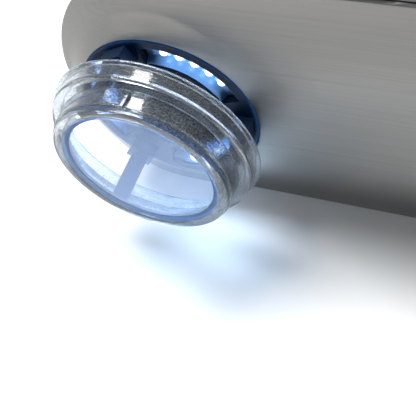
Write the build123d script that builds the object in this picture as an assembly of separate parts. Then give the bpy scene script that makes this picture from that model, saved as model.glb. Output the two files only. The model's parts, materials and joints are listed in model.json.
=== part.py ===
"""Pocket illuminated contact magnifier: a slab body of two brushed plates round a moulded frame, a ring of
LEDs round the lens, and a clear spacer ring with a contact glass that pulls off forwards on its magnets.

X runs along the body to its tail, Y runs into the body from the contact glass, and Z runs across its width.
The origin is on the optical axis, at the outer face of the contact glass. Sizes are in millimetres.
"""

from build123d import *
import math
import os

# Body
BEZEL_Y = 10.4  # front of the light ring, behind the contact face
BODY_DEPTH = 18.0  # front crown to rear crown
MID_Y = BEZEL_Y + BODY_DEPTH / 2
HALF_WIDTH = 18.8
END_RADIUS = 21.6  # arc of the head end and of the tail end
HEAD_X = 5.46  # centre of the head end's arc
TAIL_X = 74.3
CORNER_RADIUS = 8.5
CAMBER = 3.0  # how far each plate's rim lies below its crown
CAMBER_RUN = 13.0  # width of the cambered border
COLLAR_RUN = 3.2  # the plate rises to each ring over this width
PLATE = 1.0
TAPE = 0.2
FRAME_INSET = 0.35  # frame wall behind the plate's edge
FRAME_WALL = 2.0
WEB_Y = 16.2  # front of the frame's web
WEB = 1.0
SKIN_X = (-22.0, 100.0)  # the camber is drawn a little past the outline
SKIN_Z = 22.0
SKIN_COLUMNS = 105
SKIN_ROWS = 41
SKIN_TOLERANCE = 0.004

# Optics
RING_RADIUS = 12.0  # light ring, and the eyepiece's spigot
EYEPIECE_RADIUS = 14.0
EYEPIECE_LENGTH = 2.95
OBJECTIVE_RADIUS = 6.3
EYE_LENS_RADIUS = 10.5
LED_CIRCLE = 9.9
WINDOW_CENTRES = (60, 180, 300)  # degrees from +X towards +Z
WINDOW_ARC = 80
LED_PITCH = 11.4
LEDS_PER_WINDOW = 5
EAR_ANGLES = (0, 100, 260)  # where screws hold the barrel to the frame
EAR_CIRCLE = 13.8
EAR = 1.2
LEG_ANGLES = (-4, 116, 236)
MAGNET_CIRCLE = 9.95

# Spacer
GLASS_RADIUS = 10.1
GLASS = 1.0
SEAL = 0.4
SEAL_HOLE_RADIUS = 9.45
WALL_RADIUS = 10.6  # inside of the barrel wall, where the legs stand
FLANGE_BACK_Y = 5.7
SHOULDER_Y = 3.34
RIM_Y = 0.71
BAND_SPLIT_ANGLE = 85

# Boards and battery
BOARD_Y = 14.0
BOARD = 1.0
BOARD_POSTS = ((21, 12), (21, -12), (84, 11), (84, -11))  # x and z
SWITCH_BOARD_Y = (WEB_Y + WEB, WEB_Y + WEB + 0.8)
SOCKET = (88.4, 95.3, 15.0, 18.9, -3.85, 3.85)  # x, y and z limits
SOCKET_SHELL = 0.4
LEADS_SLOT = (36.0, 39.0, WEB_Y - 1, WEB_Y + 2, -4, 4)
LEAD_END = (42, 20)  # x and y
RIBBON_WIDTH = 4.4

# Buttons and charge light
BUTTON_X = (22.0, 36.0)
BUTTON_Y = 19.6
BUTTON_HALF = (4.0, 2.3)
BUTTON_PROUD = 0.3
BUTTON_FLANGE = 0.8
PLUNGER_RADIUS = 1.0
LIGHT_X = sum(BUTTON_X) / 2
LIGHT_RADIUS = 0.8

# Screws and fits
SCREW_RADIUS = 0.8
SCREW_HEAD_RADIUS = 1.4
SCREW_HOLE_RADIUS = 0.82
CLEARANCE = 0.05

os.makedirs("parts", exist_ok=True)


def save(name, shape):
    shape.label = name
    export_step(shape, f"parts/{name}.step")


def turn(points):
    """A ring or disc turned on the optical axis from (radius, y) points."""
    return revolve(make_face(Polyline(*points, close=True)), Axis.Y, 360)


def cylinder(radius, y0, y1, x=0, z=0):
    """A cylinder along Y."""
    return Pos(x, (y0 + y1) / 2, z) * Rot(X=90) * Cylinder(radius, y1 - y0)


def upright(radius, z0, z1, x, y):
    """A cylinder along Z."""
    return Pos(x, y, (z0 + z1) / 2) * Cylinder(radius, z1 - z0)


def block(x0, x1, y0, y1, z0, z1):
    size = Box(x1 - x0, y1 - y0, z1 - z0)
    return Pos((x0 + x1) / 2, (y0 + y1) / 2, (z0 + z1) / 2) * size


def sector(points, centre, arc):
    """The part of a turned ring that spans an arc about a centre angle."""
    swept = revolve(make_face(Polyline(*points, close=True)), Axis.Y, arc)
    return Rot(Y=-(centre + arc / 2)) * swept


def around(angle):
    """Turns a shape made on the +X side to an angle from +X towards +Z."""
    return Rot(Y=-angle)


def slab(sketch, y0, y1):
    """An outline drawn in X and Z, extruded along Y."""
    return extrude(Plane.XZ.offset(-y0) * sketch, amount=y1 - y0, dir=(0, 1, 0))


def rear_of(shape):
    """The same shape on the rear side of the body."""
    return mirror(shape, Plane.XZ.offset(-MID_Y))


def body_outline():
    """Straight long sides, arched ends and blended corners."""
    reach = math.sqrt(END_RADIUS**2 - HALF_WIDTH**2)
    head = HEAD_X - reach
    tail = TAIL_X + reach
    edges = [
        Line((head, HALF_WIDTH), (tail, HALF_WIDTH)),
        ThreePointArc((tail, HALF_WIDTH), (TAIL_X + END_RADIUS, 0), (tail, -HALF_WIDTH)),
        Line((tail, -HALF_WIDTH), (head, -HALF_WIDTH)),
        ThreePointArc((head, -HALF_WIDTH), (HEAD_X - END_RADIUS, 0), (head, HALF_WIDTH)),
    ]
    outline = make_face(edges)
    return fillet(outline.vertices(), CORNER_RADIUS)


OUTLINE = body_outline()


def inset(distance):
    return offset(OUTLINE, -distance)


def sag(x, z):
    """How far the plate at (x, z) lies below its crown."""
    side = CAMBER * max(0, 1 - (HALF_WIDTH - abs(z)) / CAMBER_RUN) ** 2
    end = 0
    if x < HEAD_X or x > TAIL_X:
        centre = HEAD_X if x < HEAD_X else TAIL_X
        reach = math.hypot(x - centre, z)
        share = 1 - (abs(z) / reach) ** 6
        end = CAMBER * share * max(0, 1 - (END_RADIUS - reach) / CAMBER_RUN) ** 2
    fall = (side**3 + end**3) ** (1 / 3)
    rise = (math.hypot(x, z) - RING_RADIUS) / COLLAR_RUN
    return fall * math.sin(math.pi / 2 * max(-1, min(1, rise)))


def skin(y0, y1):
    """The cambered layer from y0 to y1, measured into the body from the plate's outer surface."""
    grid = []
    for i in range(SKIN_COLUMNS):
        x = SKIN_X[0] + (SKIN_X[1] - SKIN_X[0]) * i / (SKIN_COLUMNS - 1)
        heights = []
        for j in range(SKIN_ROWS):
            z = SKIN_Z * (2 * j / (SKIN_ROWS - 1) - 1)
            heights.append((x, BEZEL_Y + y0 + sag(x, z), z))
        grid.append(heights)
    surface = Face.make_surface_from_array_of_points(grid, tol=SKIN_TOLERANCE)
    return extrude(surface, amount=y1 - y0, dir=(0, 1, 0))


FRONT_SPACE = skin(-6, PLATE + TAPE)  # all that lies in front of the frame
REAR_SPACE = rear_of(FRONT_SPACE)
OUTER_SKIN = skin(0, PLATE)
TAPE_SKIN = skin(PLATE, PLATE + TAPE)
RIM_Y_RANGE = (BEZEL_Y - 1, MID_Y)


def make_plates():
    plate = OUTER_SKIN & slab(OUTLINE, *RIM_Y_RANGE)
    plate -= cylinder(RING_RADIUS + CLEARANCE, BEZEL_Y - 2, MID_Y)
    save("front_plate", plate)
    save("rear_plate", rear_of(plate))
    tape = TAPE_SKIN & slab(inset(0.6) - inset(FRAME_INSET + FRAME_WALL), *RIM_Y_RANGE)
    save("front_plate_tape", tape)
    save("rear_plate_tape", rear_of(tape))


def make_frame():
    wall = slab(inset(FRAME_INSET) - inset(FRAME_INSET + FRAME_WALL), BEZEL_Y, BEZEL_Y + BODY_DEPTH)
    frame = wall - FRONT_SPACE - REAR_SPACE
    frame += slab(inset(FRAME_INSET + 1), WEB_Y, WEB_Y + WEB)
    frame -= cylinder(RING_RADIUS + 0.3, WEB_Y - 1, WEB_Y + 2)
    for x, z in BOARD_POSTS:
        frame += cylinder(2, BOARD_Y + BOARD, WEB_Y, x, z)
        frame -= cylinder(SCREW_HOLE_RADIUS, BOARD_Y, WEB_Y + 0.6, x, z)
    for angle in EAR_ANGLES:
        frame -= around(angle) * cylinder(SCREW_HOLE_RADIUS, WEB_Y - 1, WEB_Y + 2, EAR_CIRCLE)
    through_wall = (HALF_WIDTH - 4.8, HALF_WIDTH + 1.2)
    half_length, half_height = BUTTON_HALF
    for x in BUTTON_X:
        frame -= button_shape(x, half_length + 0.15, half_height + 0.15, *through_wall)
    frame -= upright(LIGHT_RADIUS + CLEARANCE, *through_wall, LIGHT_X, BUTTON_Y)
    x0, x1, y0, y1, z0, z1 = SOCKET
    gap = 2 * CLEARANCE
    frame -= block(x0 - 1, x1 + 1, y0 - gap, y1 + gap, z0 - gap, z1 + gap)
    frame -= block(*LEADS_SLOT)
    save("mid_frame", frame)


def button_shape(x, half_length, half_height, z0, z1):
    """An upright stadium: the shape of a button and of its hole."""
    plan = RectangleRounded(2 * half_length, 2 * half_height, half_height - 0.05)
    return extrude(Plane.XY.offset(z0) * Pos(x, BUTTON_Y) * plan, amount=z1 - z0)


def make_buttons():
    """Each button pushes its switch's plunger."""
    wall_inside = HALF_WIDTH - FRAME_INSET - FRAME_WALL
    half_length, half_height = BUTTON_HALF
    flange_top = wall_inside - 0.1
    plunger_top = flange_top - BUTTON_FLANGE
    switch_top = plunger_top - 0.9
    for x, name in zip(BUTTON_X, ("power", "mode")):
        button = button_shape(x, half_length, half_height, wall_inside - 0.2, HALF_WIDTH + BUTTON_PROUD)
        button = fillet(button.faces().sort_by(Axis.Z)[-1].edges(), 0.5)
        button += button_shape(x, half_length + BUTTON_FLANGE, half_height, plunger_top, flange_top)
        save(f"{name}_button", button)
        save(f"{name}_plunger", upright(PLUNGER_RADIUS, plunger_top - 3, plunger_top, x, BUTTON_Y))
        switch = block(x - 3, x + 3, SWITCH_BOARD_Y[1], 21.2, switch_top - 4, switch_top)
        switch -= upright(PLUNGER_RADIUS + CLEARANCE, switch_top - 3.2, switch_top + 1, x, BUTTON_Y)
        save(f"{name}_switch", switch)
    save("charge_light", upright(LIGHT_RADIUS, 12.6, HALF_WIDTH - FRAME_INSET, LIGHT_X, BUTTON_Y))


def make_light_ring():
    bezel = turn(
        [
            (6.7, BEZEL_Y),
            (11.8, BEZEL_Y),
            (RING_RADIUS, BEZEL_Y + 0.2),
            (RING_RADIUS, 12.5),
            (12.9, 12.5),
            (12.9, 13.2),
            (11.2, 13.2),
            (11.2, 11.4),
            (6.7, 11.4),
        ]
    )
    window = [(7.7, 10), (10.7, 10), (10.7, 12), (7.7, 12)]
    for centre in WINDOW_CENTRES:
        bezel -= sector(window, centre, WINDOW_ARC)
    bezel -= block(10, 15, 12.35, 14, -3.1, 3.1)
    save("led_bezel", bezel)

    trough = [
        (7.75, 10.7),
        (8.0, 10.7),
        (8.5, 11.7),
        (9.9, 11.7),
        (10.4, 10.7),
        (10.65, 10.7),
        (10.65, 12.0),
        (7.75, 12.0),
    ]
    trays = []
    leds = []
    first = -(LEDS_PER_WINDOW - 1) / 2
    for centre in WINDOW_CENTRES:
        tray = sector(trough, centre, WINDOW_ARC - 1)
        for i in range(LEDS_PER_WINDOW):
            place = around(centre + (first + i) * LED_PITCH)
            tray -= place * block(LED_CIRCLE - 0.65, LED_CIRCLE + 0.65, 10, 13, -0.75, 0.75)
            led = block(LED_CIRCLE - 0.6, LED_CIRCLE + 0.6, 11.2, 12.5, -0.7, 0.7)
            led += Pos(LED_CIRCLE, 11.2, 0) * Sphere(0.55)
            leds.append(place * led)
        trays.append(tray)
    save("reflector_trays", Compound(children=trays))
    save("leds", Compound(children=leds))

    board = turn([(7.7, 12.5), (11.1, 12.5), (11.1, 13.25), (7.7, 13.25)])
    board += block(10.8, 17, 12.5, 13.25, -2.9, 2.9)
    save("led_board", board)
    magnets = [around(a) * cylinder(1.2, 11.42, 12.45, MAGNET_CIRCLE) for a in LEG_ANGLES]
    save("bezel_magnets", Compound(children=magnets))
    save("analyser_disc", cylinder(6.95, 11.45, 12.2))


def half_way(radius, y, bulge):
    """The point at half the radius on a spherical lens surface whose rim is at y."""
    sphere = (radius**2 + bulge**2) / (2 * abs(bulge))
    drop = sphere - math.sqrt(sphere**2 - radius**2 / 4)
    return (radius / 2, y + bulge - math.copysign(drop, bulge))


def lens(radius, y0, y1, front_bulge, back_bulge):
    """A biconvex lens with a ground edge from y0 to y1."""
    front = ThreePointArc((0, y0 - front_bulge), half_way(radius, y0, -front_bulge), (radius, y0))
    back = ThreePointArc((radius, y1), half_way(radius, y1, back_bulge), (0, y1 + back_bulge))
    edge = Line((radius, y0), (radius, y1))
    axis = Line((0, y1 + back_bulge), (0, y0 - front_bulge))
    return revolve(make_face([front, edge, back, axis]), Axis.Y, 360)


def make_optics():
    barrel = turn(
        [
            (5.9, 12.25),
            (7.5, 12.25),
            (7.5, 13.3),
            (RING_RADIUS + 0.2, 13.3),
            (RING_RADIUS + 0.2, 27.1),
            (11.4, 27.1),
            (11.4, 25.0),
            (EYE_LENS_RADIUS + CLEARANCE, 25.0),
            (EYE_LENS_RADIUS + CLEARANCE, 16.6),
            (OBJECTIVE_RADIUS + CLEARANCE, 16.6),
            (OBJECTIVE_RADIUS + CLEARANCE, 13.0),
            (5.9, 13.0),
        ]
    )
    screws = []
    ear_y = WEB_Y + WEB
    for angle in EAR_ANGLES:
        ear = cylinder(2.2, ear_y, ear_y + EAR, EAR_CIRCLE)
        barrel += around(angle) * (ear - cylinder(11.5, ear_y, ear_y + EAR))
        barrel -= around(angle) * cylinder(SCREW_HOLE_RADIUS, ear_y - 1, ear_y + 2, EAR_CIRCLE)
        screw = cylinder(SCREW_RADIUS, WEB_Y, ear_y + EAR, EAR_CIRCLE)
        screw += cylinder(SCREW_HEAD_RADIUS, ear_y + EAR, ear_y + 2, EAR_CIRCLE)
        screws.append(around(angle) * screw)
    save("lens_barrel", barrel)
    save("barrel_screws", Compound(children=screws))
    save("objective_lens", lens(OBJECTIVE_RADIUS, 13.08, 14.6, 0.5, 0.8))
    save("objective_ring", turn([(5.6, 14.85), (6.33, 14.65), (6.33, 16.4), (5.6, 16.4)]))
    save("lens_spacer_tube", turn([(9.8, 16.65), (10.5, 16.65), (10.5, 20.55), (9.8, 20.3)]))
    save("eye_lens", lens(EYE_LENS_RADIUS, 20.6, 22.4, 1.6, 1.2))
    save("eye_lens_ring", turn([(9.7, 22.65), (10.5, 22.45), (10.5, 24.9), (9.7, 24.9)]))
    base_y = BEZEL_Y + BODY_DEPTH + 0.05
    top_y = base_y + EYEPIECE_LENGTH
    eyepiece = turn(
        [
            (9.9, 25.05),
            (11.35, 25.05),
            (11.35, 27.15),
            (RING_RADIUS, 27.15),
            (RING_RADIUS, base_y),
            (EYEPIECE_RADIUS, base_y),
            (EYEPIECE_RADIUS, top_y),
            (12.5, top_y),
            (9.9, base_y),
        ]
    )
    save("eyepiece_ring", eyepiece)
    guard = turn(
        [
            (12.6, top_y),
            (13.8, top_y),
            (13.8, top_y + 0.8),
            (13.4, top_y + 1.2),
            (12.9, top_y + 1.2),
            (12.5, top_y + 0.8),
        ]
    )
    save("eye_guard", guard)


def make_electronics():
    plan = inset(FRAME_INSET + FRAME_WALL + 0.4) & Pos(55, 0) * Rectangle(74, 29)
    board = slab(plan, BOARD_Y, BOARD_Y + BOARD)
    screws = []
    for x, z in BOARD_POSTS:
        board -= cylinder(SCREW_RADIUS + 0.1, BOARD_Y - 1, BOARD_Y + 2, x, z)
        screw = cylinder(SCREW_RADIUS, BOARD_Y, WEB_Y + 0.5, x, z)
        screw += cylinder(SCREW_HEAD_RADIUS, BOARD_Y - 0.7, BOARD_Y, x, z)
        screws.append(screw)
    save("main_board", board)
    save("board_screws", Compound(children=screws))
    chips = []
    for x, z, length, width in ((30, 4, 7, 7), (44, -5, 5, 5), (56, 5, 6, 4), (66, -4, 4, 6), (76, 3, 8, 5)):
        chip_y = (BOARD_Y - 1.1, BOARD_Y)
        chips.append(block(x - length / 2, x + length / 2, *chip_y, z - width / 2, z + width / 2))
    save("board_chips", Compound(children=chips))
    x0, x1, y0, y1, z0, z1 = SOCKET
    socket = block(*SOCKET)
    shell = SOCKET_SHELL
    socket -= block(x0 + 1, x1 + 1, y0 + shell, y1 - shell, z0 + shell, z1 - shell)
    tongue_y = (y0 + y1) / 2
    socket += block(x0 + 0.5, x1 - 1.2, tongue_y - 0.4, tongue_y + 0.4, z0 + 1.2, z1 - 1.2)
    save("charging_socket", socket)
    save("battery", fillet(block(42, 82, 17.3, 24.0, -13, 13).edges().filter_by(Axis.X), 1.5))
    save("battery_pad", block(45, 79, 24.0, 25.6, -9, 9))
    switch_board = block(18.2, 39.8, *SWITCH_BOARD_Y, 5.2, 14.9)
    switch_board -= block(35.9, 39.1, 17, 19, 4, 5.6)
    save("switch_board", switch_board)
    bend = [
        (14.5, 13.27),
        (17.6, 13.27),
        (19.4, 13.8),
        (23, 13.8),
        (23, 13.98),
        (19.3, 13.98),
        (17.5, 13.45),
        (14.5, 13.45),
    ]
    plan = Plane.XY.offset(-RIBBON_WIDTH / 2) * make_face(Polyline(*bend, close=True))
    ribbon = extrude(plan, amount=RIBBON_WIDTH)
    save("led_ribbon", ribbon)
    leads = []
    for z in (-2, 2):
        route = FilletPolyline((*LEAD_END, z), (37.5, 20, z), (37.5, 15.02, z), radius=1.5)
        leads.append(sweep(Plane(origin=(*LEAD_END, z), z_dir=(-1, 0, 0)) * Circle(0.5), path=route))
    save("battery_leads", Compound(children=leads))


def make_spacer():
    leg_y = GLASS + SEAL + 0.05
    ring = turn(
        [
            (GLASS_RADIUS + 0.03, 0),
            (11.3, 0),
            (11.4, 0.12),
            (11.4, RIM_Y),
            (11.2, RIM_Y),
            (11.2, SHOULDER_Y),
            (13.0, SHOULDER_Y),
            (13.2, SHOULDER_Y + 0.2),
            (13.2, FLANGE_BACK_Y - 0.28),
            (13.7, FLANGE_BACK_Y - 0.28),
            (13.7, FLANGE_BACK_Y),
            (12.2, FLANGE_BACK_Y),
            (12.2, SHOULDER_Y + 0.96),
            (WALL_RADIUS, SHOULDER_Y + 0.96),
            (WALL_RADIUS, leg_y),
            (GLASS_RADIUS + 0.03, leg_y),
        ]
    )
    save("spacer_ring", ring)
    band = cylinder(11.72, RIM_Y + 0.02, SHOULDER_Y - 0.02) - cylinder(11.22, 0, SHOULDER_Y)
    band -= around(BAND_SPLIT_ANGLE) * block(10, 13, 0, SHOULDER_Y, -0.15, 0.15)
    save("grip_band", band)
    save("contact_glass", cylinder(GLASS_RADIUS, 0, GLASS))
    save("glass_seal", cylinder(GLASS_RADIUS, GLASS, GLASS + SEAL) - cylinder(SEAL_HOLE_RADIUS, 0, leg_y))
    foot_y = BEZEL_Y - 1.8
    legs = []
    magnets = []
    for angle in LEG_ANGLES:
        leg = block(9.7, 11, leg_y, BEZEL_Y, -1.1, 1.1) & cylinder(WALL_RADIUS, 0, BEZEL_Y)
        leg += block(8.7, 11.2, foot_y, BEZEL_Y, -1.7, 1.7)
        leg -= cylinder(1.12, BEZEL_Y - 1.5, BEZEL_Y + 1, MAGNET_CIRCLE)
        legs.append(around(angle) * leg)
        magnets.append(around(angle) * cylinder(1.1, BEZEL_Y - 1.45, BEZEL_Y - 0.03, MAGNET_CIRCLE))
    save("spacer_legs", Compound(children=legs))
    save("leg_magnets", Compound(children=magnets))


make_plates()
make_frame()
make_buttons()
make_light_ring()
make_optics()
make_electronics()
make_spacer()
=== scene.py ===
import json
import math

import bpy
from mathutils import Matrix, Vector

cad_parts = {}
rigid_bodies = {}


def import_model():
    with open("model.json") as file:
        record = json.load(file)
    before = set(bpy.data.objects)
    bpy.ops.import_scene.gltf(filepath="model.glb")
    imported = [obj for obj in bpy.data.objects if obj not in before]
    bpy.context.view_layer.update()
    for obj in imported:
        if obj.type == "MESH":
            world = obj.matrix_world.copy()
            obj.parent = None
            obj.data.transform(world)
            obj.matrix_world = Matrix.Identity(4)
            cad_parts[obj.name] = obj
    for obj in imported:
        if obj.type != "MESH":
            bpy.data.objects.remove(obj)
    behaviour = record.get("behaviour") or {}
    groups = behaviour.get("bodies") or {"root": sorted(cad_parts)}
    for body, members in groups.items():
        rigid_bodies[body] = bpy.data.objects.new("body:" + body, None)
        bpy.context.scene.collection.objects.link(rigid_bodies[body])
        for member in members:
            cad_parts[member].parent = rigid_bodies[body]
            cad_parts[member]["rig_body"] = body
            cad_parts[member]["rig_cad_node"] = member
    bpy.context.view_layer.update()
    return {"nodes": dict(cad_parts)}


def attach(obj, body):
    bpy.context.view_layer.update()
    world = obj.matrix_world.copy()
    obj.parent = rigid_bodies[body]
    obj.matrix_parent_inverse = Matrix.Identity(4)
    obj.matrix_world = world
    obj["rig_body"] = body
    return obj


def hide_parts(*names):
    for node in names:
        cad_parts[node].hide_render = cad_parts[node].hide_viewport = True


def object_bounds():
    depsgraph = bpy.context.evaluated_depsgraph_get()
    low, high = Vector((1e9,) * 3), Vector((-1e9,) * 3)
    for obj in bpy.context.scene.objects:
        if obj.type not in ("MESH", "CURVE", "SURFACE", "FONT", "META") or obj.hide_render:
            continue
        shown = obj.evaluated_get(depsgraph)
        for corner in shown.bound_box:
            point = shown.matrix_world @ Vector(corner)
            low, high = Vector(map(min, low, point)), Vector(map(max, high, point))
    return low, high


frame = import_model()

MM = 0.001

# ---- Camera ----
# A medium lens close to the lit ring, looking down at the front plate from above the buttons' side.
camera = bpy.data.objects.new("camera", bpy.data.cameras.new("camera"))
bpy.context.scene.collection.objects.link(camera)
camera.data.lens = 69.8
camera.data.sensor_width = 36
camera.data.clip_start = 0.005
camera.location = Vector((41.2, -47.3, 75.8)) * MM
aim_point = Vector((0.9, 10.4, -22.4)) * MM
camera_roll = math.radians(-17.85)
turn_to_aim = (aim_point - camera.location).to_track_quat("-Z", "Y").to_matrix()
camera_turn = turn_to_aim @ Matrix.Rotation(camera_roll, 3, "Z")
camera.matrix_world = Matrix.Translation(camera.location) @ camera_turn.to_4x4()
bpy.context.scene.camera = camera

# ---- Studio ----
# A pale table under the long side that the unit stands on, a wide softbox above and behind its head end,
# a low fill in front, and pale walls under a dim ceiling, so that the metal has something dark to reflect.
bpy.ops.mesh.primitive_plane_add(size=3, location=(0, 0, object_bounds()[0][2]))
table = bpy.context.object
table.name = "table"


def new_material(name):
    """A node material with its Principled shader, and the node tree to add to."""
    material = bpy.data.materials.new(name)
    material.use_nodes = True
    tree = material.node_tree
    return material, tree, tree.nodes["Principled BSDF"]


def dress(piece, material):
    """Gives a piece one material all over."""
    piece.data.materials.clear()
    piece.data.materials.append(material)


def ramp(tree, value, low, high):
    """A colour that runs from one (position, colour) stop to another as a value rises."""
    node = tree.nodes.new("ShaderNodeValToRGB")
    for element, (position, colour) in zip(node.color_ramp.elements, (low, high)):
        element.position = position
        element.color = colour
    tree.links.new(value, node.inputs["Fac"])
    return node.outputs["Color"]


table_white, tree, shader = new_material("table_white")
shader.inputs["Base Color"].default_value = (0.86, 0.87, 0.88, 1)
shader.inputs["Roughness"].default_value = 0.6
dress(table, table_white)

world = bpy.data.worlds.new("surround")
world.use_nodes = True
nodes, links = world.node_tree.nodes, world.node_tree.links
direction = nodes.new("ShaderNodeTexCoord")
parts = nodes.new("ShaderNodeSeparateXYZ")
links.new(direction.outputs["Generated"], parts.inputs["Vector"])
PALE_WALL = (0.72, 0.73, 0.75, 1)
DIM_CEILING = (0.18, 0.19, 0.2, 1)
surround = ramp(world.node_tree, parts.outputs["Z"], (0.08, PALE_WALL), (0.45, DIM_CEILING))
links.new(surround, nodes["Background"].inputs["Color"])
bpy.context.scene.world = world
bpy.context.scene.view_settings.view_transform = "Standard"


def softbox(name, place, aim, width, height, power, colour):
    """A rectangular area light of some width and height at a place, facing a point."""
    light = bpy.data.lights.new(name, "AREA")
    light.shape = "RECTANGLE"
    light.size = width
    light.size_y = height
    light.energy = power
    light.color = colour
    lamp = bpy.data.objects.new(name, light)
    bpy.context.scene.collection.objects.link(lamp)
    lamp.location = place
    lamp.rotation_euler = (Vector(aim) - Vector(place)).to_track_quat("-Z", "Y").to_euler()
    return lamp


KEY_WHITE = (1.0, 0.985, 0.96)
FILL_WHITE = (1.0, 0.98, 0.96)
softbox("key_softbox", (-0.2, 0.25, 0.7), (0.02, 0, 0), 0.5, 0.4, power=11, colour=KEY_WHITE)
softbox("front_softbox", (-0.3, -0.75, 0.08), (0, 0, 0), 0.9, 0.35, power=1.3, colour=FILL_WHITE)

# ---- Body plates ----
# Two drawn sheets of brushed stainless steel, cambered to their rims and rising to a flat collar round the
# light ring and round the eyepiece. Each is bonded to the moulded frame with its cut edge showing.
BEZEL_Y = 10.4 * MM
MID_Y = 19.4 * MM
HALF_WIDTH = 18.8 * MM
END_RADIUS = 21.6 * MM
HEAD_X = 5.46 * MM
TAIL_X = 74.3 * MM
CORNER_RADIUS = 8.5 * MM
RING_RADIUS = 12.0 * MM


def arc(centre, radius, start, end, steps):
    """Points along an arc in X and Z, without its last one."""
    x, z = centre
    angles = [start + (end - start) * i / steps for i in range(steps)]
    return [(x + radius * math.cos(angle), z + radius * math.sin(angle)) for angle in angles]


def outline_points():
    """The plate's outline in X and Z, anticlockwise from the middle of the tail."""
    rise = HALF_WIDTH - CORNER_RADIUS
    out = math.sqrt((END_RADIUS - CORNER_RADIUS) ** 2 - rise**2)
    turn_off = math.atan2(rise, out)
    half = arc((TAIL_X, 0), END_RADIUS, 0, turn_off, steps=12)
    half += arc((TAIL_X + out, rise), CORNER_RADIUS, turn_off, math.pi / 2, steps=12)
    tail_bearing = math.atan2(HALF_WIDTH, TAIL_X + out)
    head_bearing = math.atan2(HALF_WIDTH, HEAD_X - out)
    side_steps = 72
    for i in range(side_steps):
        bearing = tail_bearing + (head_bearing - tail_bearing) * i / side_steps
        half.append((HALF_WIDTH / math.tan(bearing), HALF_WIDTH))
    half += arc((HEAD_X - out, rise), CORNER_RADIUS, math.pi / 2, math.pi - turn_off, steps=14)
    half += arc((HEAD_X, 0), END_RADIUS, math.pi - turn_off, math.pi, steps=34)
    half.append((HEAD_X - END_RADIUS, 0))
    below = [(x, -z) for x, z in reversed(half[1:-1])]
    return half + below


def sag(x, z):
    """How far the plate lies below its crown, as drawn in the press."""
    camber = 3.0 * MM
    run = 13.0 * MM
    corner_fade = 6
    collar_slope = 3.2 * MM
    side = camber * max(0, 1 - (HALF_WIDTH - abs(z)) / run) ** 2
    end = 0
    if x < HEAD_X or x > TAIL_X:
        reach = math.hypot(x - (HEAD_X if x < HEAD_X else TAIL_X), z)
        share = 1 - (abs(z) / reach) ** corner_fade
        end = camber * share * max(0, 1 - (END_RADIUS - reach) / run) ** 2
    fall = (side**3 + end**3) ** (1 / 3)
    rise = (math.hypot(x, z) - RING_RADIUS) / collar_slope
    return fall * math.sin(math.pi / 2 * min(1, rise))


def clear_selection():
    for other in bpy.context.selected_objects:
        other.select_set(False)


def alone(piece):
    """Selects a piece on its own and makes it the active one."""
    clear_selection()
    piece.select_set(True)
    bpy.context.view_layer.objects.active = piece


def apply_modifiers(piece):
    alone(piece)
    for name in [modifier.name for modifier in piece.modifiers]:
        bpy.ops.object.modifier_apply(modifier=name)


def bevelled(piece, width, segments=2, angle=25):
    """Rounds the edges that turn by more than an angle in degrees, and applies all the modifiers."""
    bevel = piece.modifiers.new("edges", "BEVEL")
    bevel.width = width
    bevel.segments = segments
    bevel.limit_method = "ANGLE"
    bevel.angle_limit = math.radians(angle)
    apply_modifiers(piece)


def smooth(piece, angle):
    """Shades a piece smooth over its bevels, up to an angle in degrees, and keeps its broad faces flat."""
    alone(piece)
    bpy.ops.object.shade_smooth_by_angle(angle=math.radians(angle))
    weighted = piece.modifiers.new("flat_faces", "WEIGHTED_NORMAL")
    weighted.keep_sharp = True
    apply_modifiers(piece)


def settle(piece, body, slot, *nodes):
    """Makes a finished piece ride on its body in place of the plain nodes it stands for."""
    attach(piece, body)
    if nodes:
        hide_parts(*nodes)


def drawn_plate(name, crown_y, inwards):
    """A grid wrapped from the collar to the outline, pressed to shape and given its thickness."""
    outline = outline_points()
    rings = 60
    around = len(outline)
    opening = RING_RADIUS + 0.05 * MM
    clear_selection()
    bpy.ops.mesh.primitive_grid_add(x_subdivisions=around, y_subdivisions=rings, size=1, calc_uvs=True)
    plate = bpy.context.object
    plate.name = name
    mesh = plate.data
    for j in range(rings + 1):
        for i in range(around + 1):
            x, z = outline[i % around]
            reach = math.hypot(x, z)
            inner = opening / reach
            share = inner + (1 - inner) * j / rings
            x, z = x * share, z * share
            mesh.vertices[i + j * (around + 1)].co = (x, crown_y + inwards * sag(x, z), z)
    bpy.ops.object.mode_set(mode="EDIT")
    bpy.ops.mesh.select_all(action="SELECT")
    bpy.ops.mesh.remove_doubles(threshold=0.005 * MM)
    bpy.ops.mesh.normals_make_consistent(inside=False)
    bpy.ops.object.mode_set(mode="OBJECT")
    facing = sum(polygon.normal.y * polygon.area for polygon in mesh.polygons)
    if facing * inwards > 0:
        bpy.ops.object.mode_set(mode="EDIT")
        bpy.ops.mesh.flip_normals()
        bpy.ops.object.mode_set(mode="OBJECT")
    sheet_scale = 10
    corner_u, corner_v = 0.3, 0.4
    for loop in mesh.loops:
        spot = mesh.vertices[loop.vertex_index].co
        flat = (spot.x * sheet_scale + corner_u, spot.z * sheet_scale + corner_v)
        mesh.uv_layers[0].data[loop.index].uv = flat
    wall = plate.modifiers.new("wall", "SOLIDIFY")
    wall.thickness = 0.95 * MM
    wall.offset = -1
    bevelled(plate, 0.16 * MM, angle=50)
    smooth(plate, 40)
    return plate


def calculate(tree, operation, *values):
    """A maths node on links and numbers."""
    node = tree.nodes.new("ShaderNodeMath")
    node.operation = operation
    for socket, value in zip(node.inputs, values):
        if isinstance(value, (int, float)):
            socket.default_value = value
        else:
            tree.links.new(value, socket)
    return node.outputs["Value"]


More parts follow.
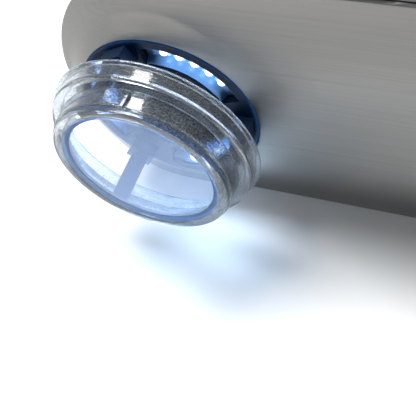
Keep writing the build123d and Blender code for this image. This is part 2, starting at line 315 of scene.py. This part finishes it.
def carried(tree, value, start=(0, 1), end=(0, 1), curve="LINEAR"):
    """A value carried from one range to another, and held at that range's ends."""
    node = tree.nodes.new("ShaderNodeMapRange")
    node.interpolation_type = curve
    for label, limit in zip(("From Min", "From Max", "To Min", "To Max"), start + end):
        node.inputs[label].default_value = limit
    tree.links.new(value, node.inputs["Value"])
    return node.outputs["Result"]


def relief(tree, shader, height, strength, distance):
    """Tilts the shader's normals by a height."""
    bump = tree.nodes.new("ShaderNodeBump")
    bump.inputs["Strength"].default_value = strength
    bump.inputs["Distance"].default_value = distance
    tree.links.new(height, bump.inputs["Height"])
    tree.links.new(bump.outputs["Normal"], shader.inputs["Normal"])


def scratches(tree, along, across, detail):
    """Noise drawn out along X, given by how often it changes per metre along and across."""
    place = tree.nodes.new("ShaderNodeTexCoord")
    stretch = tree.nodes.new("ShaderNodeMapping")
    stretch.inputs["Scale"].default_value = (along, across, across)
    tree.links.new(place.outputs["Object"], stretch.inputs["Vector"])
    lines = tree.nodes.new("ShaderNodeTexNoise")
    lines.inputs["Scale"].default_value = 1.0
    lines.inputs["Detail"].default_value = detail
    tree.links.new(stretch.outputs["Vector"], lines.inputs["Vector"])
    return lines.outputs["Fac"]


def brushed_steel():
    """Long scratches along X at two scales, in colour, roughness and height, with a stretched highlight."""
    material, tree, shader = new_material("brushed_steel")
    links = tree.links
    fine = scratches(tree, along=40, across=9000, detail=3)
    coarse = scratches(tree, along=14, across=2600, detail=2)
    coarse_share = 0.35
    both = calculate(tree, "MULTIPLY_ADD", coarse, coarse_share, fine)
    wear = carried(tree, both, (0.4, 0.95))
    colour = ramp(tree, wear, (0, (0.21, 0.208, 0.203, 1)), (1, (0.26, 0.258, 0.252, 1)))
    links.new(colour, shader.inputs["Base Color"])
    links.new(carried(tree, wear, end=(0.36, 0.46)), shader.inputs["Roughness"])
    relief(tree, shader, both, strength=0.1, distance=0.004 * MM)
    grain = tree.nodes.new("ShaderNodeTangent")
    grain.direction_type = "UV_MAP"
    links.new(grain.outputs["Tangent"], shader.inputs["Tangent"])
    shader.inputs["Metallic"].default_value = 1.0
    shader.inputs["Anisotropic"].default_value = 0.6
    return material


steel = brushed_steel()
front_plate = drawn_plate("steel_front_plate", BEZEL_Y, 1)
dress(front_plate, steel)
settle(front_plate, "body", "brushed_plate", "front_plate")
rear_plate = drawn_plate("steel_rear_plate", 2 * MID_Y - BEZEL_Y, -1)
dress(rear_plate, steel)
settle(rear_plate, "body", "brushed_plate", "rear_plate")


# ---- Moulded frame ----
# The black frame between the plates, moulded in glass-filled polymer with a fine matte skin. The barrel,
# the boards and the battery are held in it, and both plates are bonded to it.
def noise(tree, scale, detail=2):
    """Noise over a piece, from its own coordinates, given by how often it changes per metre."""
    place = tree.nodes.new("ShaderNodeTexCoord")
    node = tree.nodes.new("ShaderNodeTexNoise")
    node.inputs["Scale"].default_value = scale
    node.inputs["Detail"].default_value = detail
    tree.links.new(place.outputs["Object"], node.inputs["Vector"])
    return node.outputs["Fac"]


def moulded(name, colour, roughness, grain_scale, grain_depth):
    """A moulded polymer with a fine eroded grain and slight unevenness of gloss."""
    material, tree, shader = new_material(name)
    grain = noise(tree, grain_scale, 4)
    darker = [channel * 0.7 for channel in colour] + [1]
    lighter = [min(1, channel * 1.3) for channel in colour] + [1]
    tree.links.new(ramp(tree, grain, (0.3, darker), (0.7, lighter)), shader.inputs["Base Color"])
    gloss = carried(tree, grain, end=(roughness * 0.8, roughness * 1.2))
    tree.links.new(gloss, shader.inputs["Roughness"])
    relief(tree, shader, grain, strength=0.3, distance=grain_depth)
    return material


matte_black = moulded("frame_black", (0.02, 0.021, 0.024), 0.5, 6000, 0.02 * MM)
dress(frame["nodes"]["mid_frame"], matte_black)

def refined(name, node, width, segments=2):
    """A copy of a plain node, with its doubles merged and its edges broken as a mould leaves them."""
    clear_selection()
    piece = frame["nodes"][node].copy()
    piece.data = piece.data.copy()
    piece.name = name
    piece.parent = None
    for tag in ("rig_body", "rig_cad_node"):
        del piece[tag]
    bpy.context.scene.collection.objects.link(piece)
    alone(piece)
    bpy.ops.object.mode_set(mode="EDIT")
    bpy.ops.mesh.select_all(action="SELECT")
    bpy.ops.mesh.remove_doubles(threshold=0.002 * MM)
    bpy.ops.mesh.dissolve_limited(angle_limit=math.radians(0.6))
    bpy.ops.object.mode_set(mode="OBJECT")
    bevelled(piece, width, segments)
    smooth(piece, 32)
    return piece


# ---- Light ring ----
# The gloss ring that the LEDs shine through, moulded in one piece and snapped behind the front plate. It is
# so dark a blue that it looks black. Its outer rim has a painted highlight: a blue emission for the LEDs'
# light.
def from_axis(tree):
    """The distance from the optical axis, in metres."""
    place = tree.nodes.new("ShaderNodeTexCoord")
    across = tree.nodes.new("ShaderNodeVectorMath")
    across.operation = "MULTIPLY"
    across.inputs[1].default_value = (1, 0, 1)
    tree.links.new(place.outputs["Object"], across.inputs[0])
    reach = tree.nodes.new("ShaderNodeVectorMath")
    reach.operation = "LENGTH"
    tree.links.new(across.outputs["Vector"], reach.inputs[0])
    return reach.outputs["Value"]


bezel_blue, tree, shader = new_material("bezel_blue_black")
# Painted highlight: an emission that rises to blue over the last of the ring's radius, near its rim.
RIM_GLOW_WIDTH = 0.9 * MM
rim = carried(tree, from_axis(tree), (RING_RADIUS - RIM_GLOW_WIDTH, RING_RADIUS))
painted_rim_glow = ramp(tree, rim, (0.35, (0.0, 0.002, 0.008, 1)), (1, (0.003, 0.05, 0.19, 1)))
tree.links.new(painted_rim_glow, shader.inputs["Emission Color"])
shader.inputs["Emission Strength"].default_value = 0.55
shader.inputs["Base Color"].default_value = (0.002, 0.006, 0.016, 1)
shader.inputs["Specular IOR Level"].default_value = 0.12
shader.inputs["Roughness"].default_value = 0.28
bezel = refined("light_ring_bezel", "led_bezel", 0.09 * MM)
dress(bezel, bezel_blue)
settle(bezel, "body", "bezel_black", "led_bezel")

# ---- LED troughs ----
# A bright vacuum-metallised reflector under each window, clipped in behind the light ring. Its pale blue
# glow round the LEDs in the middle of each trough is painted light: an emission, not the LEDs' own light.
chrome_blue, tree, shader = new_material("chrome_blue")
place = tree.nodes.new("ShaderNodeTexCoord")
parts = tree.nodes.new("ShaderNodeSeparateXYZ")
tree.links.new(place.outputs["Object"], parts.inputs["Vector"])
# Painted glow: a blue emission, strongest near the LEDs in each window's middle and mottled by noise.
bearing = calculate(tree, "ARCTAN2", parts.outputs["Z"], parts.outputs["X"])
thirds = calculate(tree, "COSINE", calculate(tree, "MULTIPLY", bearing, 3))
near_leds = carried(tree, thirds, (0.35, -0.75), curve="SMOOTHSTEP")
ripple = calculate(tree, "ADD", noise(tree, 700, 3), 0.45)
lit = calculate(tree, "MULTIPLY", near_leds, ripple)
glow = ramp(tree, lit, (0.05, (0.004, 0.012, 0.03, 1)), (0.95, (0.16, 0.42, 0.98, 1)))
tree.links.new(glow, shader.inputs["Emission Color"])
shader.inputs["Emission Strength"].default_value = 0.85
shader.inputs["Base Color"].default_value = (0.12, 0.2, 0.34, 1)
shader.inputs["Metallic"].default_value = 1.0
shader.inputs["Roughness"].default_value = 0.3
troughs = refined("reflector_troughs", "reflector_trays", 0.05 * MM)
dress(troughs, chrome_blue)
settle(troughs, "body", "reflector", "reflector_trays")

# ---- LEDs ----
# Cool white LEDs, each a square package with a clear dome, soldered to the LED board. All of them are lit:
# the domes shine, and the lamps below are the light that they throw.
led_lit, tree, shader = new_material("led_lit")
place = tree.nodes.new("ShaderNodeTexCoord")
parts = tree.nodes.new("ShaderNodeSeparateXYZ")
tree.links.new(place.outputs["Object"], parts.inputs["Vector"])
DOME_FRONT_Y = 10.7 * MM
DOME_FOOT_Y = 11.2 * MM
depth = carried(tree, parts.outputs["Y"], (DOME_FRONT_Y, DOME_FOOT_Y))
core = ramp(tree, depth, (0.35, (0.95, 0.98, 1.0, 1)), (0.9, (0.05, 0.12, 0.26, 1)))
tree.links.new(core, shader.inputs["Emission Color"])
shader.inputs["Emission Strength"].default_value = 3.0
shader.inputs["Base Color"].default_value = (0.8, 0.88, 1.0, 1)
lit_leds = refined("lit_leds", "leds", 0.04 * MM)
dress(lit_leds, led_lit)
settle(lit_leds, "body", "led", "leds")

LED_TINT = (0.595, 0.78, 1.0)


def led_glow(name, place, aim, width, height, power, shape="RECTANGLE"):
    """A softbox in the LEDs' colour, placed in millimetres, that is not seen itself, even through glass."""
    place, aim = Vector(place) * MM, Vector(aim) * MM
    lamp = softbox(name, place, aim, width * MM, height * MM, power, LED_TINT)
    lamp.data.shape = shape
    lamp.visible_camera = False
    lamp.visible_transmission = False
    return lamp


WINDOW_CENTRES = (60, 180, 300)
LED_CIRCLE = 9.9
BEAM_Y = 9.8
for window in WINDOW_CENTRES:
    bearing = math.radians(window)
    x, z = LED_CIRCLE * math.cos(bearing), LED_CIRCLE * math.sin(bearing)
    beam = led_glow(f"led_beam_{window}", (x, BEAM_Y, z), (x, BEAM_Y - 1, z), 6, 2, power=0.003)
    beam.visible_glossy = False

# What comes forwards through the glass, and down through the clear barrel onto the table.
forwards = led_glow("glow_forwards", (-2, -0.4, -3), (1, -11, -18.8), 14, 9, power=0.0034, shape="ELLIPSE")
forwards.data.spread = math.radians(120)
forwards.visible_glossy = False
downwards = led_glow("glow_downwards", (0, 6, -14.2), (0, 6, -20), 14, 8, power=0.0002)
downwards.visible_glossy = False

# What the lit table throws back up on the plate, the ring and its legs.
led_glow("table_glow", (-2, 3, -18.5), (-3, 5, 0), 22, 13, power=0.0018, shape="ELLIPSE")


# ---- Clear spacer ----
# A ring moulded in clear acrylic: a flange with a bright rim at the back, a shoulder, and a barrel that
# holds the contact glass. It is lightly frosted all over, by the grain of its mould.
def lathed(name, profile, segments=192, solid=False):
    """A circle drawn from point to point of a (radius, y) profile round the optical axis, then closed."""
    clear_selection()
    radius, y = profile[0]
    bpy.ops.mesh.primitive_circle_add(vertices=segments, radius=radius * MM, rotation=(math.pi / 2, 0, 0))
    piece = bpy.context.object
    piece.name = name
    bpy.ops.object.transform_apply(location=True, rotation=True, scale=True)
    bpy.ops.object.mode_set(mode="EDIT")
    bpy.ops.mesh.select_mode(type="EDGE")
    bpy.ops.mesh.select_all(action="SELECT")
    bpy.ops.transform.translate(value=(0, y * MM, 0))
    for next_radius, next_y in profile[1:]:
        bpy.ops.mesh.extrude_edges_move(TRANSFORM_OT_translate={"value": (0, (next_y - y) * MM, 0)})
        grow = next_radius / radius
        bpy.ops.transform.resize(value=(grow, 1, grow), center_override=(0, next_y * MM, 0))
        radius, y = next_radius, next_y
    bpy.ops.mesh.select_all(action="DESELECT")
    bpy.ops.mesh.select_non_manifold()
    if solid:
        bpy.ops.mesh.fill_holes(sides=0)
    else:
        bpy.ops.mesh.bridge_edge_loops()
    bpy.ops.mesh.select_all(action="SELECT")
    bpy.ops.mesh.remove_doubles(threshold=0.001 * MM)
    bpy.ops.mesh.normals_make_consistent(inside=False)
    bpy.ops.object.mode_set(mode="OBJECT")
    return piece


frosted, tree, shader = new_material("acrylic_frosted")
SMOKY = (0.3, 0.35, 0.4, 1)
CLEAR = (0.86, 0.92, 0.98, 1)
grain = noise(tree, 4200)
tree.links.new(ramp(tree, grain, (0.35, SMOKY), (0.65, CLEAR)), shader.inputs["Base Color"])
tree.links.new(carried(tree, grain, (0.35, 0.65), (0.036, 0.135)), shader.inputs["Roughness"])
relief(tree, shader, grain, strength=0.6, distance=0.005 * MM)
shader.inputs["Transmission Weight"].default_value = 0.93
shader.inputs["IOR"].default_value = 1.49

SEAT_RADIUS, SEAT_END = 10.13, 1.45
LIP_RADIUS, LIP_END = 11.4, 0.71
NECK_RADIUS, NECK_END = 11.2, 3.34
SHOULDER_RADIUS, SHOULDER_END = 13.2, 5.42
FLANGE_RADIUS, FLANGE_END = 13.7, 5.7
BORE_RADIUS, BORE_END = 10.6, 4.3
MOUTH_RADIUS = 12.2
spacer_ring = lathed(
    "clear_spacer_ring",
    [
        (SEAT_RADIUS, 0),
        (LIP_RADIUS - 0.1, 0),
        (LIP_RADIUS, 0.12),
        (LIP_RADIUS, LIP_END),
        (NECK_RADIUS, LIP_END),
        (NECK_RADIUS, NECK_END),
        (SHOULDER_RADIUS - 0.2, NECK_END),
        (SHOULDER_RADIUS, NECK_END + 0.2),
        (SHOULDER_RADIUS, SHOULDER_END),
        (FLANGE_RADIUS, SHOULDER_END),
        (FLANGE_RADIUS, FLANGE_END),
        (MOUTH_RADIUS, FLANGE_END),
        (MOUTH_RADIUS, BORE_END),
        (BORE_RADIUS, BORE_END),
        (BORE_RADIUS, SEAT_END),
        (SEAT_RADIUS, SEAT_END),
    ],
)
bevelled(spacer_ring, 0.1 * MM)
smooth(spacer_ring, 30)
dress(spacer_ring, frosted)
settle(spacer_ring, "spacer", "clear_polymer", "spacer_ring")

# ---- Grip band ----
# A split band of the same acrylic with its gap near the top. It is sprung round the barrel's neck, and its
# edges are rounded for the fingers.
grip_band = refined("split_grip_band", "grip_band", 0.12 * MM)
dress(grip_band, frosted)
settle(grip_band, "spacer", "clear_polymer", "grip_band")

# ---- Contact glass ----
# A flat coated window of ground and bevelled glass, bonded in the barrel flush with its rim. Its faint blue
# glow is painted light: an even emission that stands in for the LEDs' light. Traces of handling mark its
# colour.
coated_glass, tree, shader = new_material("coated_glass")
CLEAN_GLASS = (0.96, 0.985, 1.0, 1)
TOUCHED_GLASS = (0.88, 0.92, 0.96, 1)
film = ramp(tree, noise(tree, 260, 5), (0.45, CLEAN_GLASS), (0.75, TOUCHED_GLASS))
tree.links.new(film, shader.inputs["Base Color"])
shader.inputs["Roughness"].default_value = 0.0
shader.inputs["Transmission Weight"].default_value = 1.0
shader.inputs["IOR"].default_value = 1.45
shader.inputs["Specular IOR Level"].default_value = 0.08
# Painted glow: an even faint blue emission over the whole glass.
shader.inputs["Emission Color"].default_value = (0.12, 0.4, 1.0, 1)
shader.inputs["Emission Strength"].default_value = 0.15
contact_glass = refined("contact_window", "contact_glass", 0.06 * MM)
dress(contact_glass, coated_glass)
settle(contact_glass, "spacer", "window_glass", "contact_glass")

# ---- Seal ----
# A thin ring of black rubber bonded behind the contact glass, in the barrel's bore. It hides the glue line
# and keeps fluid out of the spacer.
seal_black = moulded("seal_black", (0.03, 0.034, 0.04), 0.45, 4000, 0.01 * MM)
dress(frame["nodes"]["glass_seal"], seal_black)

# ---- Legs ----
# Three glossy posts, moulded like the light ring in a blue so dark that it looks black, carry the spacer
# off the ring. Each foot holds a magnet, and the posts carry a painted sheen: a faint blue emission for the
# LEDs' light.
leg_blue, tree, shader = new_material("leg_blue_black")
# Painted sheen: a faint blue emission, mottled by noise, over the posts.
painted_led_sheen = ramp(tree, noise(tree, 500), (0, (0.02, 0.06, 0.15, 1)), (1, (0.06, 0.15, 0.36, 1)))
tree.links.new(painted_led_sheen, shader.inputs["Emission Color"])
shader.inputs["Emission Strength"].default_value = 0.05
shader.inputs["Base Color"].default_value = (0.006, 0.014, 0.035, 1)
shader.inputs["Specular IOR Level"].default_value = 0.2
shader.inputs["Roughness"].default_value = 0.3
legs = refined("spacer_leg_posts", "spacer_legs", 0.08 * MM)
dress(legs, leg_blue)
settle(legs, "spacer", "bezel_black", "spacer_legs")

# ---- Lens barrel, rings and spacer tube ----
# Turned from aluminium bar and anodised matt black. The rings screw down on the lenses, and three small
# screws hold the barrel's ears to the frame.
def turned(name, dark, light, roughness):
    """Turned metal, with fine cutter marks round the optical axis."""
    material, tree, shader = new_material(name)
    place = tree.nodes.new("ShaderNodeTexCoord")
    marks = tree.nodes.new("ShaderNodeTexWave")
    marks.wave_type = "RINGS"
    marks.rings_direction = "Y"
    marks.inputs["Scale"].default_value = 900
    marks.inputs["Distortion"].default_value = 2.0
    tree.links.new(place.outputs["Object"], marks.inputs["Vector"])
    tone = ramp(tree, marks.outputs["Fac"], (0, dark), (1, light))
    tree.links.new(tone, shader.inputs["Base Color"])
    relief(tree, shader, marks.outputs["Fac"], strength=0.15, distance=0.01 * MM)
    shader.inputs["Metallic"].default_value = 1.0
    shader.inputs["Roughness"].default_value = roughness
    return material


anodised = turned("anodised_black", (0.012, 0.012, 0.013, 1), (0.035, 0.035, 0.038, 1), 0.42)
for node in ("lens_barrel", "objective_ring", "lens_spacer_tube", "eye_lens_ring"):
    dress(frame["nodes"][node], anodised)

# ---- Screws ----
# Small pan-head machine screws of bright zinc-plated steel. Three hold the barrel's ears to the frame, and
# four hold the main board to its posts.
zinc_steel = turned("zinc_steel", (0.42, 0.42, 0.4, 1), (0.6, 0.6, 0.58, 1), 0.3)
dress(frame["nodes"]["barrel_screws"], zinc_steel)
dress(frame["nodes"]["board_screws"], zinc_steel)


# ---- Lenses ----
# Two glass lenses, ground and polished, with a coating that cuts reflections and turns them green. The
# rings screwed down on them hold them in the barrel.
def coated_lens(name, tint, reflection):
    """Clear glass with a faint film of handling marks and a coloured reflection."""
    material, tree, shader = new_material(name)
    marked = [channel * 0.95 for channel in tint[:3]] + [1]
    film = ramp(tree, noise(tree, 400), (0, tint), (1, marked))
    tree.links.new(film, shader.inputs["Base Color"])
    shader.inputs["Roughness"].default_value = 0.0
    shader.inputs["Transmission Weight"].default_value = 1.0
    shader.inputs["IOR"].default_value = 1.52
    shader.inputs["Specular Tint"].default_value = reflection
    return material


lens_glass = coated_lens("lens_glass", (0.93, 0.97, 0.96, 1), (0.62, 0.95, 0.72, 1))
LENS_RINGS = 24


def lens_curve(radius, rim_y, bulge):
    """Points of a spherical surface from near its middle out to its rim, where it is rim_y deep."""
    sphere = (radius**2 + bulge**2) / (2 * abs(bulge))
    points = []
    for i in range(1, LENS_RINGS + 1):
        reach = radius * i / LENS_RINGS
        drop = sphere - math.sqrt(sphere**2 - reach**2)
        points.append((reach, rim_y + bulge - math.copysign(drop, bulge)))
    return points


def ground_lens(name, radius, rims, bulges):
    """A lens of two spherical faces, its rims' depths and its bulges given from the front to the back."""
    front = lens_curve(radius, rims[0], -bulges[0])
    back = lens_curve(radius, rims[1], bulges[1])
    piece = lathed(name, front + back[::-1], segments=96, solid=True)
    alone(piece)
    bpy.ops.object.shade_smooth_by_angle(angle=math.radians(30))
    dress(piece, lens_glass)
    return piece


eye_lens = ground_lens("coated_eye_lens", radius=10.5, rims=(20.6, 22.4), bulges=(1.6, 1.2))
settle(eye_lens, "body", "lens_glass", "eye_lens")
objective = ground_lens("coated_objective", radius=6.3, rims=(13.08, 14.6), bulges=(0.5, 0.8))
settle(objective, "body", "lens_glass", "objective_lens")

# ---- Analyser ----
# A disc of polarising film cemented between glass, so it looks grey. It sits behind the light ring's
# opening, in front of the objective.
analyser_glass = coated_lens("analyser_glass", (0.32, 0.33, 0.36, 1), (0.8, 0.85, 1.0, 1))
analyser = refined("analyser_filter", "analyser_disc", 0.08 * MM)
dress(analyser, analyser_glass)
settle(analyser, "body", "analyser", "analyser_disc")

# ---- Eyepiece ----
# A black anodised ring screwed into the barrel, which holds the rear plate and takes an adapter ring. Two
# grooves run round it, and its mouth is coned down to the eye lens.
EYEPIECE_RADIUS = 14.0
EYEPIECE_BASE, EYEPIECE_TOP = 28.45, 31.4
THREAD_RADIUS, THREAD_START, THREAD_END = 11.35, 25.05, 27.15
SEAT_IN_PLATE = 12.0
CONE_FOOT, CONE_MOUTH = 9.9, 12.5
GROOVES_Y = (29.2, 30.1)
GROOVE_WIDTH, GROOVE_DEPTH, GROOVE_FLANK = 0.45, 0.25, 0.1
rim_profile = [
    (CONE_FOOT, THREAD_START),
    (THREAD_RADIUS, THREAD_START),
    (THREAD_RADIUS, THREAD_END),
    (SEAT_IN_PLATE, THREAD_END),
    (SEAT_IN_PLATE, EYEPIECE_BASE),
    (EYEPIECE_RADIUS, EYEPIECE_BASE),
]
for groove_y in GROOVES_Y:
    rim_profile += [
        (EYEPIECE_RADIUS, groove_y),
        (EYEPIECE_RADIUS - GROOVE_DEPTH, groove_y + GROOVE_FLANK),
        (EYEPIECE_RADIUS - GROOVE_DEPTH, groove_y + GROOVE_WIDTH - GROOVE_FLANK),
        (EYEPIECE_RADIUS, groove_y + GROOVE_WIDTH),
    ]
rim_profile += [(EYEPIECE_RADIUS, EYEPIECE_TOP), (CONE_MOUTH, EYEPIECE_TOP), (CONE_FOOT, EYEPIECE_BASE)]
eyepiece = lathed("eyepiece_rim", rim_profile)
bevelled(eyepiece, 0.06 * MM)
smooth(eyepiece, 30)
dress(eyepiece, anodised)
settle(eyepiece, "body", "anodised_black", "eyepiece_ring")

# ---- Eye guard ----
# A soft ring moulded in black rubber and bonded on the eyepiece's end, so that the metal does not scratch
# spectacles.
guard_rubber = moulded("guard_rubber", (0.018, 0.018, 0.019), 0.7, 2500, 0.02 * MM)
eye_guard = refined("rubber_eye_guard", "eye_guard", 0.25 * MM, 3)
dress(eye_guard, guard_rubber)
settle(eye_guard, "body", "guard_rubber", "eye_guard")

# ---- Buttons ----
# Two push buttons in the long side, moulded and given a soft-touch coat. Each stands on a steel plunger
# over its snap switch.
soft_touch = moulded("soft_touch", (0.035, 0.036, 0.04), 0.6, 3500, 0.015 * MM)
plunger_steel = turned("plunger_steel", (0.45, 0.45, 0.45, 1), (0.62, 0.62, 0.62, 1), 0.25)
for name in ("power", "mode"):
    button = refined(f"soft_{name}_button", f"{name}_button", 0.12 * MM, 3)
    dress(button, soft_touch)
    settle(button, f"{name}_key", "button", f"{name}_button")
    dress(frame["nodes"][f"{name}_plunger"], plunger_steel)

# ---- Charge light ----
# A light pipe moulded in milky acrylic, set in the frame between the buttons. It is dark while the unit is
# off its charger.
milky = moulded("milky_acrylic", (0.62, 0.66, 0.62), 0.25, 1500, 0.004 * MM)
charge_light = refined("charge_light_pipe", "charge_light", 0.15 * MM, 3)
dress(charge_light, milky)
settle(charge_light, "body", "light_pipe", "charge_light")

# ---- Charging socket ----
# A small USB socket folded from tinned steel sheet, with its tongue inside. It is soldered to the main
# board and opens in the tail.
tinned = moulded("tinned_steel", (0.6, 0.59, 0.57), 0.28, 1800, 0.003 * MM)
tinned.node_tree.nodes["Principled BSDF"].inputs["Metallic"].default_value = 1.0
socket = refined("usb_socket", "charging_socket", 0.08 * MM)
dress(socket, tinned)
settle(socket, "body", "steel", "charging_socket")

# ---- Boards and parts ----
# Glass-fibre boards with green solder mask carry the drive electronics, the LEDs and the two switches. The
# chips and switches have moulded black cases and are soldered on.
solder_mask = moulded("solder_mask", (0.012, 0.11, 0.05), 0.3, 1200, 0.006 * MM)
for node in ("main_board", "led_board", "switch_board"):
    dress(frame["nodes"][node], solder_mask)
chip_black = moulded("chip_black", (0.028, 0.028, 0.03), 0.55, 5000, 0.01 * MM)
for node in ("board_chips", "power_switch", "mode_switch"):
    dress(frame["nodes"][node], chip_black)

# ---- Ribbon and leads ----
# A ribbon of polyimide film joins the LED board to the main board. Two leads of stranded copper in red
# insulation come from the battery.
polyimide = moulded("polyimide_film", (0.5, 0.22, 0.03), 0.3, 900, 0.004 * MM)
dress(frame["nodes"]["led_ribbon"], polyimide)
lead_red = moulded("lead_red", (0.45, 0.02, 0.015), 0.4, 1500, 0.004 * MM)
dress(frame["nodes"]["battery_leads"], lead_red)

# ---- Battery ----
# A lithium pouch cell wrapped in foil laminate. A pad of die-cut closed-cell foam keeps it from rattling in
# the frame.
pouch_foil = moulded("pouch_foil", (0.55, 0.56, 0.6), 0.35, 350, 0.05 * MM)
pouch_foil.node_tree.nodes["Principled BSDF"].inputs["Metallic"].default_value = 0.8
dress(frame["nodes"]["battery"], pouch_foil)
foam_grey = moulded("foam_grey", (0.09, 0.09, 0.092), 0.9, 1600, 0.12 * MM)
dress(frame["nodes"]["battery_pad"], foam_grey)

# ---- Plate tapes ----
# Thin foam tape with adhesive on both faces, die-cut to the plates' outline. One piece bonds each plate to
# the moulded frame.
tape_black = moulded("tape_black", (0.03, 0.03, 0.032), 0.85, 2200, 0.05 * MM)
for node in ("front_plate_tape", "rear_plate_tape"):
    dress(frame["nodes"][node], tape_black)

# ---- Magnets ----
# Sintered discs plated with nickel and pressed in: three behind the light ring, and one in the foot of each
# leg. They hold the spacer on.
nickel = moulded("nickel_plate", (0.62, 0.6, 0.56), 0.18, 1400, 0.002 * MM)
nickel.node_tree.nodes["Principled BSDF"].inputs["Metallic"].default_value = 1.0
for node in ("bezel_magnets", "leg_magnets"):
    dress(frame["nodes"][node], nickel)
